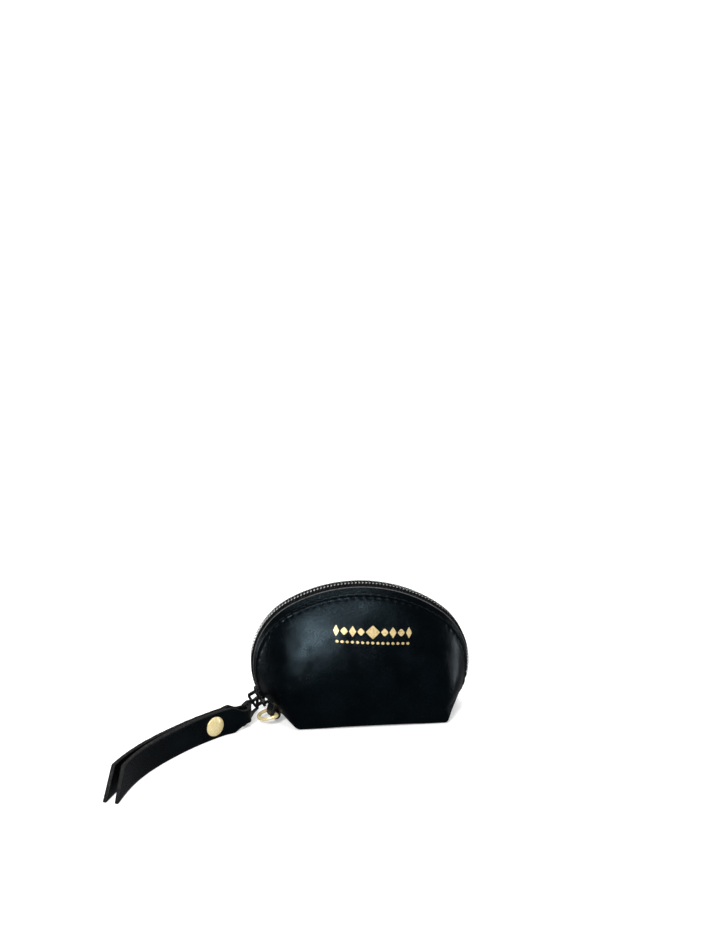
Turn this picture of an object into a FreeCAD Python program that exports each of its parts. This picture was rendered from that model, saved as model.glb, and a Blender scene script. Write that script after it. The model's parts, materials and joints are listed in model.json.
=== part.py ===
import FreeCAD, Part
import math
import os

from FreeCAD import Placement, Rotation, Vector

# A small domed leather coin purse.  Millimetres, +Z up, origin at the centre of the flat base.
# +X runs along the purse, the front faces -Y, and the zip closes at the -X end.

SIZES = {
    # arch of the zip: two side arcs and one top arc, tangent at the shoulders
    "side_radius": 34.0,
    "top_radius": 65.8,
    "shoulder_angle": 58.1,
    "left_drop": 36.5,
    "right_drop": 10.0,
    "arch_height": 23.4,
    "arch_shift": -3.5,
    "arch_lean": 4.5,
    "arch_spread": 4.0,
    "leather_left_drop": 23.5,
    # zip
    "coil_thick": 2.5,
    "coil_width": 3.0,
    "coil_gap": 0.1,
    "tape_thick": 0.5,
    "tape_reach": 4.0,
    "tape_gap": 0.25,
    "layer_gap": 0.05,
    # leather body
    "leather_thick": 1.2,
    "leather_drop": 0.8,
    "mouth_half": 4.1,
    "half_depth": 23.5,
    "base_half": 38.3,
    "front_narrowing": 0.31,
    "front_lowering": 0.66,
    "belly_power": 1.7,
    "corner_flat": 8.0,
    "corner_drop": 0.5,
    "corner_sweep": 0.25,
    "corner_rise": 10.0,
    "front_tuck": 0.2,
    "opening_spread": 8.0,
    "base_thick": 1.2,
    "lining_thick": 0.5,
    "base_lining_scale": 0.985,
    "panel_gap": 0.1,
    "stitch_station": 0.078,
    "stitch_thick": 0.35,
    "stitch_lift": 0.1,
    # slider
    "slider_angle": 33.5,
    "slider_long": 9.5,
    "slider_wide": 7.8,
    "slider_plate": 1.0,
    "slider_round": 1.6,
    "slider_clear": 0.3,
    "slider_sag": 0.55,
    "neck_long": 1.0,
    "neck_wide": 1.6,
    "bridge_long": 7.6,
    "bridge_wide": 1.6,
    "bridge_tall": 4.4,
    "bridge_hole_long": 5.2,
    "bridge_hole_tall": 3.4,
    "bridge_round": 1.2,
    # metal pull
    "pull_thick": 1.3,
    "pull_top_width": 6.2,
    "pull_end_width": 10.6,
    "pull_reach": 18.6,
    "pull_overhang": 2.5,
    "eye_long": 8.0,
    "eye_wide": 4.4,
    "slot_start": 12.6,
    "slot_long": 3.7,
    "slot_wide": 8.4,
    "pull_flare_long": 9.0,
    "pull_round": 0.6,
    "pull_yaw": 249.4,
    "pull_pitch": 6.4,
    # leather strap
    "strap_thick": 1.7,
    "strap_wide": 12.7,
    "strap_waist": 6.6,
    "strap_waist_long": 2.0,
    "strap_flare_long": 5.0,
    "strap_slant": 10.2,
    "strap_ground_gap": 0.2,
    "fold_half_gap": 1.9,
    "rivet_half_gap": 0.05,
    "tip_half_gap": 1.7,
    "fold_to_rivet": 17.2,
    # rivet
    "rivet_radius": 4.6,
    "rivet_rise": 1.3,
    "rivet_rim": 0.35,
    "rivet_round": 0.55,
    "rivet_lift": 0.12,
    "stub_long": 1.2,
    "stub_gap": 0.05,
    "post_radius": 1.5,
    "post_clear": 0.05,
    # ring and its leather tab
    "ring_wire": 0.85,
    "ring_half": 5.2,
    "ring_leg": 2.0,
    "ring_turn": 1.4,
    "ring_x": -44.9,
    "ring_y": -12.4,
    "ring_z": 4.8,
    "ring_tilt": 5.0,
    "tab_wide": 7.2,
    "tab_thick": 1.1,
    "tab_clear": 0.3,
    "tab_long": 7.0,
    "tab_taper": 0.75,
}

doc = FreeCAD.newDocument("coin_purse")
dims = doc.addObject("Spreadsheet::Sheet", "dims")
for row, (alias, number) in enumerate(SIZES.items(), start=1):
    dims.set(f"A{row}", alias)
    dims.set(f"B{row}", str(number))
    dims.setAlias(f"B{row}", alias)
doc.recompute()


def size(alias):
    return float(dims.get(alias))


def bind(obj, **expressions):
    for name, expression in expressions.items():
        obj.setExpression(name, expression)
    return obj


X_AXIS = Vector(1, 0, 0)
Y_AXIS = Vector(0, 1, 0)
Z_AXIS = Vector(0, 0, 1)
SHOULDER = math.radians(size("shoulder_angle"))
CENTRE_GAP = size("top_radius") - size("side_radius")
SIDE_CENTRE = CENTRE_GAP * math.cos(SHOULDER)
TOP_CENTRE = -CENTRE_GAP * math.sin(SHOULDER)
LEAN = Placement(Vector(size("arch_shift"), 0, size("arch_height")), Rotation(Y_AXIS, size("arch_lean")))


def node(obj, label):
    obj.Label = label
    return obj


# ---------------------------------------------------------------- zip: bands that follow the arch

def ring_sector(name, radius_cell, outer_inset, inner_inset, width, centre, y_far, start, sweep):
    outer = bind(
        doc.addObject("Part::Cylinder", f"{name}_outer"),
        Radius=f"dims.{radius_cell} - ({outer_inset})",
        Height=width,
        Angle=sweep,
    )
    inner = bind(
        doc.addObject("Part::Cylinder", f"{name}_inner"),
        Radius=f"dims.{radius_cell} - ({inner_inset})",
        Height=width,
    )
    upright = Rotation(X_AXIS, 90)
    outer.Placement = Placement(Vector(centre[0], y_far, centre[1]), upright * Rotation(Z_AXIS, start))
    inner.Placement = Placement(Vector(centre[0], y_far, centre[1]), upright)
    ring = doc.addObject("Part::Cut", f"{name}_ring")
    ring.Base = outer
    ring.Tool = inner
    return ring


def arch_band(label, outer_inset, inner_inset, width, y_far):
    shoulder = size("shoulder_angle")
    rings = [
        ring_sector(
            f"{label}_left", "side_radius", outer_inset, inner_inset, width, (-SIDE_CENTRE, 0), y_far,
            180 - shoulder, "dims.shoulder_angle + dims.left_drop",
        ),
        ring_sector(
            f"{label}_top", "top_radius", outer_inset, inner_inset, width, (0, TOP_CENTRE), y_far,
            shoulder, "180 - 2 * dims.shoulder_angle",
        ),
        ring_sector(
            f"{label}_right", "side_radius", outer_inset, inner_inset, width, (SIDE_CENTRE, 0), y_far,
            -size("right_drop"), "dims.shoulder_angle + dims.right_drop",
        ),
    ]
    band = doc.addObject("Part::MultiFuse", label)
    band.Shapes = rings
    band.Placement = LEAN
    return node(band, label)


def build_coils():
    width = "dims.coil_width - dims.coil_gap"
    arch_band("front_coil", "0", "dims.coil_thick", width, -size("coil_gap"))
    arch_band("back_coil", "0", "dims.coil_thick", width, size("coil_width"))


def build_tapes():
    top = "dims.coil_thick + dims.layer_gap"
    bottom = "dims.coil_thick + dims.layer_gap + dims.tape_thick"
    width = "dims.tape_reach - dims.tape_gap"
    arch_band("front_zip_tape", top, bottom, width, -size("tape_gap"))
    arch_band("back_zip_tape", top, bottom, width, size("tape_reach"))


# ---------------------------------------------------------------- leather body

def arch_points(inset, spread=0.0):
    """Points along the arch, from the left end over the top to the right end, as seen from the front."""
    shoulder = size("shoulder_angle")
    arcs = [
        (-SIDE_CENTRE, 0, size("side_radius"), 180 + size("leather_left_drop") + spread, 180 - shoulder, 6),
        (0, TOP_CENTRE, size("top_radius"), 180 - shoulder, shoulder, 6),
        (SIDE_CENTRE, 0, size("side_radius"), shoulder, -size("right_drop") - spread, 6),
    ]
    points = []
    for centre_x, centre_z, radius, first, last, steps in arcs:
        begin = 1 if points else 0
        for step in range(begin, steps + 1):
            angle = math.radians(first + (last - first) * step / steps)
            reach = radius - inset
            local = Vector(centre_x + reach * math.cos(angle), 0, centre_z + reach * math.sin(angle))
            points.append(LEAN.multVec(local))
    return points


def corner_curve(arch_end, base_corner, base_end):
    """The rounded side below the end of the zip, from the arch down to the flat base."""
    curve = Part.BezierCurve()
    along_side = arch_end + (base_corner - arch_end) * size("corner_drop")
    near_corner = base_corner + (base_end - base_corner) * size("corner_sweep")
    curve.setPoles([arch_end, along_side, near_corner, base_end])
    return curve.toShape()


def station_wire(t, y, inset, base_z):
    """Outline of the body in the plane at y; t runs from 0 at the mouth to 1 at the front face."""
    narrow = 1 - size("front_narrowing") * t
    low = 1 - size("front_lowering") * t
    crest = arch_points(size("leather_drop") + inset, size("arch_spread") - size("corner_rise") * t)
    arch = [Vector(p.x * narrow, y, p.z * low) for p in crest]
    half = size("base_half") - inset - size("front_tuck") * t
    flat = half - size("corner_flat")
    spline = Part.BSplineCurve()
    spline.interpolate(arch)
    left_corner, right_corner = Vector(-half, y, base_z), Vector(half, y, base_z)
    left_flat, right_flat = Vector(-flat, y, base_z), Vector(flat, y, base_z)
    return Part.Wire([
        corner_curve(arch[0], left_corner, left_flat),
        Part.makeLine(left_flat, right_flat),
        corner_curve(arch[-1], right_corner, right_flat),
        spline.toShape(),
    ])


def station_y(t, inset):
    travel = size("half_depth") - inset - size("mouth_half")
    return -(size("mouth_half") + travel * (1 - (1 - t) ** size("belly_power")))


STATIONS = [0.0, 0.14, 0.32, 0.55, 0.8, 1.0]
BIG = 200.0
BELOW = -1.0


def half_body(inset, base_z):
    """The bulging front and the straight middle strip of the front half, as two solids."""
    wires = [station_wire(t, station_y(t, inset), inset, base_z) for t in STATIONS]
    bulge = Part.makeLoft(wires, True, False)
    middle = Part.Face(station_wire(0, 0, inset, base_z)).extrude(Vector(0, -size("mouth_half"), 0))
    return bulge, middle


def mirrored(shape):
    return shape.mirror(Vector(0, 0, 0), Y_AXIS)


def slab(z_low, z_high):
    return Part.makeBox(2 * BIG, 2 * BIG, z_high - z_low, Vector(-BIG, -BIG, z_low))


def zip_opening():
    """The region that the zip takes out of the body: everything above its two ends."""
    left = math.radians(180 + size("left_drop") + size("opening_spread"))
    right = math.radians(-size("right_drop") - size("opening_spread"))
    far = BIG / 2
    corners = [
        Vector(-SIDE_CENTRE, 0, 0),
        Vector(-SIDE_CENTRE + far * math.cos(left), 0, far * math.sin(left)),
        Vector(-far * 2, 0, far),
        Vector(far * 2, 0, far),
        Vector(SIDE_CENTRE + far * math.cos(right), 0, far * math.sin(right)),
        Vector(SIDE_CENTRE, 0, 0),
    ]
    corners = [LEAN.multVec(corner) for corner in corners]
    face = Part.Face(Part.makePolygon(corners + corners[:1]))
    solid = face.extrude(Vector(0, 2 * size("mouth_half"), 0))
    solid.translate(Vector(0, -size("mouth_half"), 0))
    return solid


def soft_solid(label, shape):
    shape = shape.removeSplitter()
    if shape.ShapeType == "Compound" and len(shape.Solids) == 1:
        shape = shape.Solids[0]
    feature = doc.addObject("Part::Feature", label)
    feature.Shape = shape
    return node(feature, label)


def build_body():
    thick = size("leather_thick")
    gap = size("panel_gap")
    lining_out = thick + gap
    lining_in = lining_out + size("lining_thick")
    outer, outer_middle = half_body(0.0, 0.0)
    inner, inner_middle = half_body(thick, BELOW)
    lined, _ = half_body(lining_out, BELOW)
    hollow, _ = half_body(lining_in, BELOW)
    wall_bottom = size("base_thick") + gap
    above_base = slab(wall_bottom, BIG)
    mouth_edge = size("mouth_half") + gap
    clear_mouth = Part.makeBox(2 * BIG, BIG, 2 * BIG, Vector(-BIG, -BIG - mouth_edge, -BIG))

    panel = outer.cut(inner).common(above_base).common(clear_mouth)
    soft_solid("front_panel", panel)
    soft_solid("back_panel", mirrored(panel))

    middle_shell = outer_middle.fuse(mirrored(outer_middle)).cut(inner_middle.fuse(mirrored(inner_middle)))
    strips = middle_shell.cut(zip_opening()).common(above_base)
    for strip in strips.Solids:
        side = "left" if strip.BoundBox.Center.x < 0 else "right"
        soft_solid(f"{side}_gusset", strip)

    whole = outer.fuse([outer_middle, mirrored(outer), mirrored(outer_middle)])
    soft_solid("base_panel", whole.common(slab(0, size("base_thick"))))

    lining_bottom = wall_bottom + size("lining_thick") + gap
    lining = lined.cut(hollow).common(slab(lining_bottom, BIG)).common(clear_mouth)
    soft_solid("front_lining", lining)
    soft_solid("back_lining", mirrored(lining))
    inside = inner.fuse([inner_middle, mirrored(inner), mirrored(inner_middle)])
    sheet = inside.common(slab(wall_bottom, wall_bottom + size("lining_thick")))
    shrink = FreeCAD.Matrix()
    shrink.scale(size("base_lining_scale"), size("base_lining_scale"), 1.0)
    soft_solid("base_lining", sheet.transformGeometry(shrink))
    return whole


def build_topstitching():
    t = size("stitch_station")
    y = station_y(t, 0)
    narrow = 1 - size("front_narrowing") * t
    low = 1 - size("front_lowering") * t
    lift = size("stitch_lift")
    edges = []
    for rise in (lift, lift + size("stitch_thick")):
        arch = [Vector(p.x * narrow, y, p.z * low) for p in arch_points(size("leather_drop") - rise)]
        spline = Part.BSplineCurve()
        spline.interpolate(arch)
        edges.append(spline.toShape())
    ends = [
        Part.makeLine(edges[0].Vertexes[0].Point, edges[1].Vertexes[0].Point),
        Part.makeLine(edges[0].Vertexes[-1].Point, edges[1].Vertexes[-1].Point),
    ]
    band = Part.Face(Part.Wire([edges[0], ends[1], edges[1], ends[0]]))
    thread = band.extrude(Vector(0, -size("stitch_thick"), 0))
    soft_solid("front_topstitch", thread)
    soft_solid("back_topstitch", mirrored(thread))


# ---------------------------------------------------------------- slider

def slider_frame():
    """Placement with X along the zip (towards its middle), Y across it and Z out of the purse."""
    angle = math.radians(180 + size("slider_angle"))
    radius = size("side_radius")
    crest = Vector(-SIDE_CENTRE + radius * math.cos(angle), 0, radius * math.sin(angle))
    out = Vector(math.cos(angle), 0, math.sin(angle))
    along = Y_AXIS.cross(out)
    local = Placement(crest, Rotation(along, Y_AXIS, out, "ZXY"))
    return LEAN * local


def box(name, long, wide, tall, x, y, z):
    block = doc.addObject("Part::Box", name)
    bind(block, Length=long, Width=wide, Height=tall)
    bind(block, **{".Placement.Base.x": x, ".Placement.Base.y": y, ".Placement.Base.z": z})
    return block


def fillet_upright_edges(name, base, radius):
    doc.recompute()
    rounded = doc.addObject("Part::Fillet", name)
    rounded.Base = base
    picks = []
    for number, edge in enumerate(base.Shape.Edges, start=1):
        direction = edge.Vertexes[-1].Point - edge.Vertexes[0].Point
        if direction.Length > 1e-6 and abs(direction.normalize().z) > 0.99:
            picks.append((number, radius, radius))
    rounded.Edges = picks
    return rounded


def slider_plate(name, z):
    plate = box(
        f"{name}_block", "dims.slider_long", "dims.slider_wide", "dims.slider_plate",
        "-dims.slider_long / 2", "-dims.slider_wide / 2", z,
    )
    return fillet_upright_edges(name, plate, size("slider_round"))


def build_slider():
    top_z = "dims.slider_clear"
    low_z = "-(dims.coil_thick + dims.layer_gap + dims.tape_thick + dims.slider_sag + dims.slider_plate)"
    top = slider_plate("slider_top", top_z)
    bottom = slider_plate("slider_bottom", low_z)
    neck = box(
        "slider_neck", "dims.neck_long", "dims.neck_wide", f"dims.slider_clear - ({low_z})",
        "-dims.slider_long / 2 + dims.layer_gap", "-dims.neck_wide / 2", low_z,
    )
    body = doc.addObject("Part::MultiFuse", "slider_body")
    body.Shapes = [top, bottom, neck]
    body.Placement = slider_frame()
    node(body, "slider_body")

    roof_z = "dims.slider_clear + dims.slider_plate"
    block = box(
        "bridge_block", "dims.bridge_long", "dims.bridge_wide", "dims.bridge_tall",
        "-dims.bridge_long / 2", "-dims.bridge_wide / 2", roof_z,
    )
    hole = box(
        "bridge_hole", "dims.bridge_hole_long", "dims.bridge_wide * 2", "dims.bridge_hole_tall",
        "-dims.bridge_hole_long / 2", "-dims.bridge_wide", roof_z,
    )
    doc.recompute()
    rounded = doc.addObject("Part::Fillet", "bridge_rounded")
    rounded.Base = block
    roof = size("slider_clear") + size("slider_plate") + size("bridge_tall")
    turn = size("bridge_round")
    picks = []
    for number, edge in enumerate(block.Shape.Edges, start=1):
        if abs(edge.CenterOfMass.z - roof) < 1e-6 and abs(edge.CenterOfMass.x) > 1:
            picks.append((number, turn, turn))
    rounded.Edges = picks
    bridge = doc.addObject("Part::Cut", "slider_bridge")
    bridge.Base = rounded
    bridge.Tool = hole
    bridge.Placement = slider_frame()
    node(bridge, "slider_bridge")


def bridge_centre():
    height = size("slider_clear") + size("slider_plate") + size("bridge_hole_tall") / 2
    return slider_frame().multVec(Vector(0, 0, height))


# ---------------------------------------------------------------- metal pull

def pull_frame():
    """Placement with X along the pull, Z up its width and Y through its thickness, at the bridge."""
    turn = Rotation(Z_AXIS, size("pull_yaw")) * Rotation(Y_AXIS, -size("pull_pitch"))
    rail = (size("eye_wide") + size("pull_top_width")) / 4
    start = bridge_centre() - turn.multVec(Vector(0, 0, rail))
    return Placement(start, turn)


def origin_plane(body, role):
    for feature in body.Origin.OriginFeatures:
        if feature.Role == role:
            return feature
    raise RuntimeError(role)


def sketch_on(body, name, role):
    sketch = body.newObject("Sketcher::SketchObject", name)
    sketch.AttachmentSupport = [(origin_plane(body, role), "")]
    sketch.MapMode = "FlatFace"
    return sketch


def add_polygon(sketch, corners):
    count = len(corners)
    for index in range(count):
        first = Vector(*corners[index], 0)
        second = Vector(*corners[(index + 1) % count], 0)
        sketch.addGeometry(Part.LineSegment(first, second), False)


def build_pull():
    body = doc.addObject("PartDesign::Body", "pull_tab")
    plate = sketch_on(body, "pull_outline", "XZ_Plane")
    back = -size("pull_overhang")
    end = size("pull_reach")
    top_half = size("pull_top_width") / 2
    end_half = size("pull_end_width") / 2
    widen_to = size("slot_start") - (size("pull_end_width") - size("pull_top_width")) / 8
    widen_from = widen_to - size("pull_flare_long")
    add_polygon(plate, [
        (back, -top_half), (widen_from, -top_half), (widen_to, -end_half), (end, -end_half),
        (end, end_half), (widen_to, end_half), (widen_from, top_half), (back, top_half),
    ])
    pad = body.newObject("PartDesign::Pad", "pull_plate")
    pad.Profile = plate
    pad.Midplane = True
    bind(pad, Length="dims.pull_thick")
    doc.recompute()
    holes = sketch_on(body, "pull_openings", "XZ_Plane")
    eye_back = back + (size("pull_top_width") - size("eye_wide")) / 2
    eye_half = size("eye_wide") / 2
    add_polygon(holes, [
        (eye_back, -eye_half), (size("eye_long"), -eye_half), (size("eye_long"), eye_half), (eye_back, eye_half),
    ])
    slot_half = size("slot_wide") / 2
    slot_from = size("slot_start")
    slot_to = slot_from + size("slot_long")
    add_polygon(holes, [
        (slot_from, -slot_half), (slot_to, -slot_half), (slot_to, slot_half), (slot_from, slot_half),
    ])
    cut = body.newObject("PartDesign::Pocket", "pull_cut")
    cut.Profile = holes
    cut.Type = "ThroughAll"
    cut.Midplane = True
    doc.recompute()
    fillet = body.newObject("PartDesign::Fillet", "pull_rounding")
    picks = []
    for number, edge in enumerate(cut.Shape.Edges, start=1):
        across = edge.Vertexes[-1].Point - edge.Vertexes[0].Point
        if across.Length > 1e-6 and abs(across.normalize().y) > 0.99:
            picks.append(f"Edge{number}")
    fillet.Base = (cut, picks)
    bind(fillet, Radius="dims.pull_round")
    doc.recompute()
    body.Tip = fillet
    body.Placement = pull_frame()
    node(body, "pull_tab")


def bar_centre():
    slot_to = size("slot_start") + size("slot_long")
    return pull_frame().multVec(Vector((slot_to + size("pull_reach")) / 2, 0, 0))


# ---------------------------------------------------------------- leather strap and rivet

STRAP_ROUTE = [(0, 0), (-9.5, -6.8), (-20.0, -15.0), (-30.5, -25.2), (-40.5, -37.0), (-49.0, -50.8), (-55.0, -66.0)]


FOLD_STRAIGHT = 2.0
FOLD_STEP = 4.0
FAR_STEPS = 5
TIP_SPARE = 2.0


def strap_midline():
    start = bar_centre()
    curve = Part.BSplineCurve()
    curve.interpolate([Vector(start.x + x, start.y + y, 0) for x, y in STRAP_ROUTE])
    return curve


def half_gap(distance, total):
    """Half the space between the two plies: open at the fold, shut at the rivet, open at the tips."""
    fold, rivet, tip = size("fold_half_gap"), size("rivet_half_gap"), size("tip_half_gap")
    reach = size("fold_to_rivet")
    if distance < reach:
        share = max(0.0, min(1.0, (distance - FOLD_STRAIGHT) / (reach - 3 * FOLD_STRAIGHT)))
        return rivet + (fold - rivet) * 0.5 * (1 + math.cos(math.pi * share))
    share = (distance - reach) / (total - reach)
    return rivet + (tip - rivet) * share ** 2


def strap_frame_at(curve, distance):
    parameter = curve.parameterAtDistance(distance, curve.FirstParameter)
    point = curve.value(parameter)
    along = curve.tangent(parameter)[0]
    return point, along, Z_AXIS.cross(along)


def strap_side(curve, total, side, lift):
    points = []
    near_fold = [FOLD_STEP * step for step in range(8)]
    spacing = (total - near_fold[-1]) / FAR_STEPS
    beyond = [near_fold[-1] + spacing * step for step in range(1, FAR_STEPS + 1)]
    for distance in near_fold + beyond:
        point, along, across = strap_frame_at(curve, distance)
        points.append(point + across * (side * (half_gap(distance, total) + lift)))
    spline = Part.BSplineCurve()
    spline.interpolate(points)
    return spline.toShape(), points


def strap_plan_face(curve, total):
    """The strap seen from above: two plies joined by a round fold."""
    thick = size("strap_thick")
    rings = []
    for lift in (0.0, thick):
        near, near_points = strap_side(curve, total, 1, lift)
        far, far_points = strap_side(curve, total, -1, lift)
        point, along, across = strap_frame_at(curve, 0)
        tip_of_fold = point - along * (size("fold_half_gap") + lift)
        fold = Part.Arc(near_points[0], tip_of_fold, far_points[0]).toShape()
        rings.append((near, fold, far, near_points, far_points))
    inner, outer = rings
    near_end = Part.makeLine(inner[3][-1], outer[3][-1])
    far_end = Part.makeLine(inner[4][-1], outer[4][-1])
    wire = Part.Wire(Part.__sortEdges__([
        outer[0], outer[1], outer[2], far_end, inner[2], inner[1], inner[0], near_end,
    ]))
    return Part.Face(wire)


def strap_profile(curve, total):
    """The strap seen from its side: a narrow waist at the fold and slanting tips."""
    start = bar_centre()
    tip, _, _ = strap_frame_at(curve, total)
    chord = Vector(tip.x - start.x, tip.y - start.y, 0)
    reach = chord.Length
    chord.normalize()
    across = Z_AXIS.cross(chord)
    wide = size("strap_wide")
    low = (wide - size("strap_waist")) / 2
    waist = size("strap_waist_long")
    full = waist + size("strap_flare_long")
    slant = size("strap_slant")
    ground = size("strap_ground_gap")
    behind = -2 * size("strap_thick") - 2 * size("fold_half_gap")
    outline = [
        (behind, low), (waist, low), (full, ground), (reach + TIP_SPARE, ground), (reach + TIP_SPARE - slant, wide),
        (full, wide), (waist, wide - low), (behind, wide - low),
    ]
    corners = [start + chord * x - across * BIG for x, _ in outline]
    for corner, (_, z) in zip(corners, outline):
        corner.z = z
    face = Part.Face(Part.makePolygon(corners + corners[:1]))
    return face.extrude(across * 2 * BIG)


def rivet_frame(curve):
    """Placement with Z out of the front ply, at the middle of the strap's width."""
    point, along, across = strap_frame_at(curve, size("fold_to_rivet"))
    point.z = size("strap_wide") / 2
    if across.y > 0:
        across = across * -1
    return Placement(point, Rotation(along, Z_AXIS, across, "ZXY"))


def build_strap():
    curve = strap_midline()
    total = curve.length()
    plan = strap_plan_face(curve, total).extrude(Vector(0, 0, size("strap_wide")))
    strap = plan.common(strap_profile(curve, total))
    hole = Part.makeCylinder(size("post_radius") + size("post_clear"), BIG)
    hole.Placement = rivet_frame(curve).multiply(Placement(Vector(0, 0, -BIG / 2), Rotation()))
    soft_solid("pull_strap", strap.cut(hole))
    return rivet_frame(curve)


def rivet_half(label, frame, foot):
    """A domed cap turned about its own axis, with a post that reaches down to foot."""
    body = doc.addObject("PartDesign::Body", label)
    sketch = sketch_on(body, f"{label}_profile", "XZ_Plane")
    radius, rise = size("rivet_radius"), size("rivet_rise")
    post = size("post_radius")
    seat = rivet_seat()
    rim = seat + size("rivet_rim")
    dome_radius = (radius ** 2 + rise ** 2) / (2 * rise)
    dome_centre = rim + rise - dome_radius
    middle = math.asin(radius / dome_radius) / 2
    shoulder = Vector(dome_radius * math.sin(middle), dome_centre + dome_radius * math.cos(middle), 0)
    corners = [(0, rim + rise), (0, foot), (post, foot), (post, seat), (radius, seat), (radius, rim)]
    corners = [Vector(x, z, 0) for x, z in corners]
    for first, second in zip(corners, corners[1:]):
        sketch.addGeometry(Part.LineSegment(first, second), False)
    sketch.addGeometry(Part.Arc(corners[-1], shoulder, corners[0]), False)
    turned = body.newObject("PartDesign::Revolution", f"{label}_turned")
    turned.Profile = sketch
    turned.ReferenceAxis = (sketch, ["V_Axis"])
    turned.Angle = 360
    doc.recompute()
    rounding = body.newObject("PartDesign::Fillet", f"{label}_rounding")
    picks = []
    for number, edge in enumerate(turned.Shape.Edges, start=1):
        at_rim = abs(edge.BoundBox.ZMin - rim) < 1e-3 and abs(edge.BoundBox.ZMax - rim) < 1e-3
        if at_rim and edge.Length > 2 * math.pi * post:
            picks.append(f"Edge{number}")
    rounding.Base = (turned, picks)
    bind(rounding, Radius="dims.rivet_round")
    doc.recompute()
    body.Tip = rounding
    body.Placement = frame
    node(body, label)


def rivet_seat():
    return size("strap_thick") + size("rivet_half_gap") + size("rivet_lift")


def build_rivet(frame):
    stub_end = rivet_seat() - size("stub_long")
    rivet_half("rivet_cap", frame, stub_end)
    turned_round = frame.multiply(Placement(Vector(0, 0, 0), Rotation(X_AXIS, 180)))
    rivet_half("rivet_back", turned_round, size("stub_gap") - stub_end)


# ---------------------------------------------------------------- ring and its tab

RING_POINTS_ALONG = (-0.93, -0.31, -0.19)
TAB_RISES_ALONG = (0.12, 0.25, 1.0)


def ring_frame():
    """Placement at the middle of the ring's bar: Y along the bar, X towards the bow."""
    bow = Vector(*RING_POINTS_ALONG).normalize()
    level = Z_AXIS.cross(bow).normalize()
    middle = Vector(size("ring_x"), size("ring_y"), size("ring_z"))
    frame = Placement(middle, Rotation(bow, level, bow.cross(level), "XYZ"))
    return frame.multiply(Placement(Vector(0, 0, 0), Rotation(X_AXIS, size("ring_tilt"))))


def torus_part(name, radius, first, last, centre):
    turn = doc.addObject("Part::Torus", name)
    bind(turn, Radius1=radius, Radius2="dims.ring_wire")
    turn.Angle3 = last - first
    turn.Placement = Placement(centre, Rotation(Z_AXIS, first))
    return turn


def rod(name, length, start, direction):
    bar = doc.addObject("Part::Cylinder", name)
    bind(bar, Radius="dims.ring_wire", Height=length)
    bar.Placement = Placement(start, Rotation(Z_AXIS, direction))
    return bar


def build_ring():
    half = size("ring_half")
    leg = size("ring_leg")
    turn = size("ring_turn")
    pieces = [
        rod("ring_bar", "2 * (dims.ring_half - dims.ring_turn)", Vector(0, -half + turn, 0), Y_AXIS),
        torus_part("ring_corner_near", "dims.ring_turn", 180, 270, Vector(turn, -half + turn, 0)),
        torus_part("ring_corner_far", "dims.ring_turn", 90, 180, Vector(turn, half - turn, 0)),
        rod("ring_leg_near", "dims.ring_leg - dims.ring_turn", Vector(turn, -half, 0), X_AXIS),
        rod("ring_leg_far", "dims.ring_leg - dims.ring_turn", Vector(turn, half, 0), X_AXIS),
        torus_part("ring_bow", "dims.ring_half", -90, 90, Vector(leg, 0, 0)),
    ]
    ring = doc.addObject("Part::MultiFuse", "d_ring")
    ring.Shapes = pieces
    ring.Placement = ring_frame()
    node(ring, "d_ring")


def build_ring_tab(body_solid):
    """A leather loop round the bar; its two ends rise to the side of the purse."""
    frame = ring_frame()
    wide = size("tab_wide")
    inner = size("ring_wire") + size("tab_clear")
    outer = inner + size("tab_thick")
    loop = Part.makeCylinder(outer, wide, Vector(0, -wide / 2, 0), Y_AXIS)
    up = frame.Rotation.inverted().multVec(Vector(*TAB_RISES_ALONG))
    up.y = 0
    up.normalize()
    side = Y_AXIS.cross(up)
    root = up * size("tab_long")
    root_half = side * (outer * size("tab_taper"))
    corners = [side * outer, root + root_half, root - root_half, side * -outer]
    stem = Part.Face(Part.makePolygon(corners + corners[:1])).extrude(Vector(0, wide, 0))
    stem.translate(Vector(0, -wide / 2, 0))
    hollow = Part.makeCylinder(inner, wide, Vector(0, -wide / 2, 0), Y_AXIS)
    tab = loop.fuse(stem).cut(hollow)
    tab.Placement = frame
    soft_solid("d_ring_tab", tab.cut(body_solid))


def build_all():
    build_coils()
    build_tapes()
    body_solid = build_body()
    build_topstitching()
    build_slider()
    build_pull()
    rivet = build_strap()
    build_rivet(rivet)
    build_ring()
    build_ring_tab(body_solid)
    doc.recompute()


NODES = [
    "front_panel", "back_panel", "left_gusset", "right_gusset", "base_panel",
    "front_lining", "back_lining", "base_lining",
    "front_zip_tape", "back_zip_tape", "front_coil", "back_coil", "front_topstitch", "back_topstitch",
    "slider_body", "slider_bridge", "pull_tab", "pull_strap", "rivet_cap", "rivet_back",
    "d_ring", "d_ring_tab",
]


def check_and_export():
    for obj in doc.Objects:
        if "Invalid" in obj.State or "Error" in obj.State:
            raise RuntimeError(f"{obj.Name} failed: {obj.State}")
    os.makedirs("parts", exist_ok=True)
    for label in NODES:
        shape = doc.getObjectsByLabel(label)[0].Shape
        if shape.isNull() or not shape.isValid():
            raise RuntimeError(f"{label} has no valid shape")
        print(label, len(shape.Solids), round(shape.Volume, 1), shape.BoundBox)
        shape.exportStep(f"parts/{label}.step")


build_all()
check_and_export()
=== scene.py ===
import bmesh
import bpy
import json
import math
import numpy as np
from mathutils import Matrix, Vector, noise
from mathutils.bvhtree import BVHTree


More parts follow.
